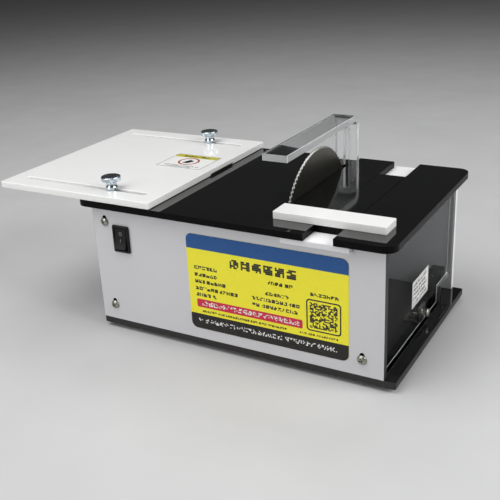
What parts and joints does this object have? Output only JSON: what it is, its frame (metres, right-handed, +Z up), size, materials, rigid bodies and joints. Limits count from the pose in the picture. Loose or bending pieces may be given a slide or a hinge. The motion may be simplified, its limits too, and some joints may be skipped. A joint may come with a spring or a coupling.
{
  "type": "small bench circular saw",
  "caption": "Small acrylic-cased bench saw with a circular blade through the table, a clear blade guard, a sliding fence plate and a push bar.",
  "frame": {"origin": "centre of the machine's footprint, fence plate and slide bed included, on the surface it stands on", "axes": "+X along the case to the operator's right, +Y to the back, away from the operator, +Z up"},
  "size_m": [0.3216, 0.175, 0.1426],
  "materials": {
    "white_acrylic": "polished white acrylic sheet, 5 mm",
    "white_faced_sheet": "sheet with white faces and a dark core, 5 mm",
    "black_acrylic": "glossy black acrylic sheet, 5 mm",
    "clear_acrylic": "clear acrylic sheet with bright flame-polished edges, 5 mm",
    "blade_steel": "ground and lightly polished tool steel",
    "knurled_zinc": "zinc-plated, knurled rim",
    "zinc_steel": "zinc-plated steel",
    "motor_steel": "nickel-plated motor can",
    "black_plastic": "moulded black plastic",
    "foot_rubber": "matt black rubber",
    "lead_red": "red PVC insulation",
    "lead_black": "black PVC insulation",
    "label_print": "glossy printed film, yellow with a blue band",
    "label_paper": "white printed film"
  },
  "bodies": {
    "case": {"base_plate": "black_acrylic", "front_panel": "white_faced_sheet", "rear_panel": "white_faced_sheet", "left_panel": "white_faced_sheet", "right_cover": "clear_acrylic", "motor_wall": "white_faced_sheet", "front_block_top_left": "black_plastic", "front_block_bottom_left": "black_plastic", "front_block_bottom_right": "black_plastic", "rear_block_top_left": "black_plastic", "rear_block_bottom_left": "black_plastic", "rear_block_bottom_right": "black_plastic", "front_screw_top_left": "zinc_steel", "front_screw_bottom_left": "zinc_steel", "front_screw_bottom_right": "zinc_steel", "rear_screw_top_left": "zinc_steel", "rear_screw_bottom_left": "zinc_steel", "rear_screw_bottom_right": "zinc_steel", "cover_bracket": "zinc_steel", "bracket_screw": "zinc_steel", "cover_screw": "zinc_steel", "front_left_foot": "foot_rubber", "front_right_foot": "foot_rubber", "rear_left_foot": "foot_rubber", "rear_right_foot": "foot_rubber", "table_left": "black_acrylic", "table_right": "black_acrylic", "slide_bed": "white_acrylic", "front_fence_nut": "zinc_steel", "rear_fence_nut": "zinc_steel", "guard_screw_upper": "zinc_steel", "guard_nut_upper": "zinc_steel", "guard_screw_lower": "zinc_steel", "guard_nut_lower": "zinc_steel", "motor_can": "motor_steel", "motor_end_cap": "black_plastic", "motor_screw_1": "zinc_steel", "motor_screw_2": "zinc_steel", "rocker_housing": "black_plastic", "dc_jack": "black_plastic", "dc_jack_nut": "zinc_steel", "lead_jack_to_switch": "lead_red", "lead_switch_to_motor": "lead_red", "lead_jack_to_motor": "lead_black", "front_label": "label_print", "cover_label": "label_paper"},
    "arbor": {"saw_blade": "blade_steel", "arbor_hub": "zinc_steel", "outer_flange": "zinc_steel", "arbor_nut": "zinc_steel", "motor_shaft": "motor_steel", "motor_rotor": "motor_steel"},
    "fence": {"fence_plate": "white_acrylic", "fence_label": "label_paper"},
    "front_clamp": {"front_thumbscrew": "knurled_zinc"},
    "rear_clamp": {"rear_thumbscrew": "knurled_zinc"},
    "guard": {"blade_guard": "clear_acrylic"},
    "pusher": {"slide_strip": "black_acrylic", "push_bar": "white_acrylic"},
    "rocker": {"rocker_button": "black_plastic"}
  },
  "joints": [
    {"name": "blade_spin", "type": "hinge", "parent": "case", "child": "arbor", "pos_m": [0.06635, 0.0072, 0.0783], "axis": [1, 0, 0], "continuous": true},
    {"name": "fence_slide", "type": "slide", "parent": "case", "child": "fence", "axis": [1, 0, 0], "range_m": [-0.028, 0.068]},
    {"name": "front_clamp_turn", "type": "hinge", "parent": "case", "child": "front_clamp", "pos_m": [-0.06375, -0.071, 0.1109], "axis": [0, 0, 1], "range_deg": [0, 720]},
    {"name": "rear_clamp_turn", "type": "hinge", "parent": "case", "child": "rear_clamp", "pos_m": [-0.06375, 0.0673, 0.1109], "axis": [0, 0, 1], "range_deg": [0, 720]},
    {"name": "guard_lift", "type": "slide", "parent": "case", "child": "guard", "axis": [0, 0, 1], "range_m": [-0.003, 0.012]},
    {"name": "push_slide", "type": "slide", "parent": "case", "child": "pusher", "axis": [0, 1, 0], "range_m": [-0.016, 0.1]},
    {"name": "rocker_tilt", "type": "hinge", "parent": "case", "child": "rocker", "pos_m": [-0.05185, -0.0783, 0.0766], "axis": [1, 0, 0], "range_deg": [0, 18]}
  ]
}
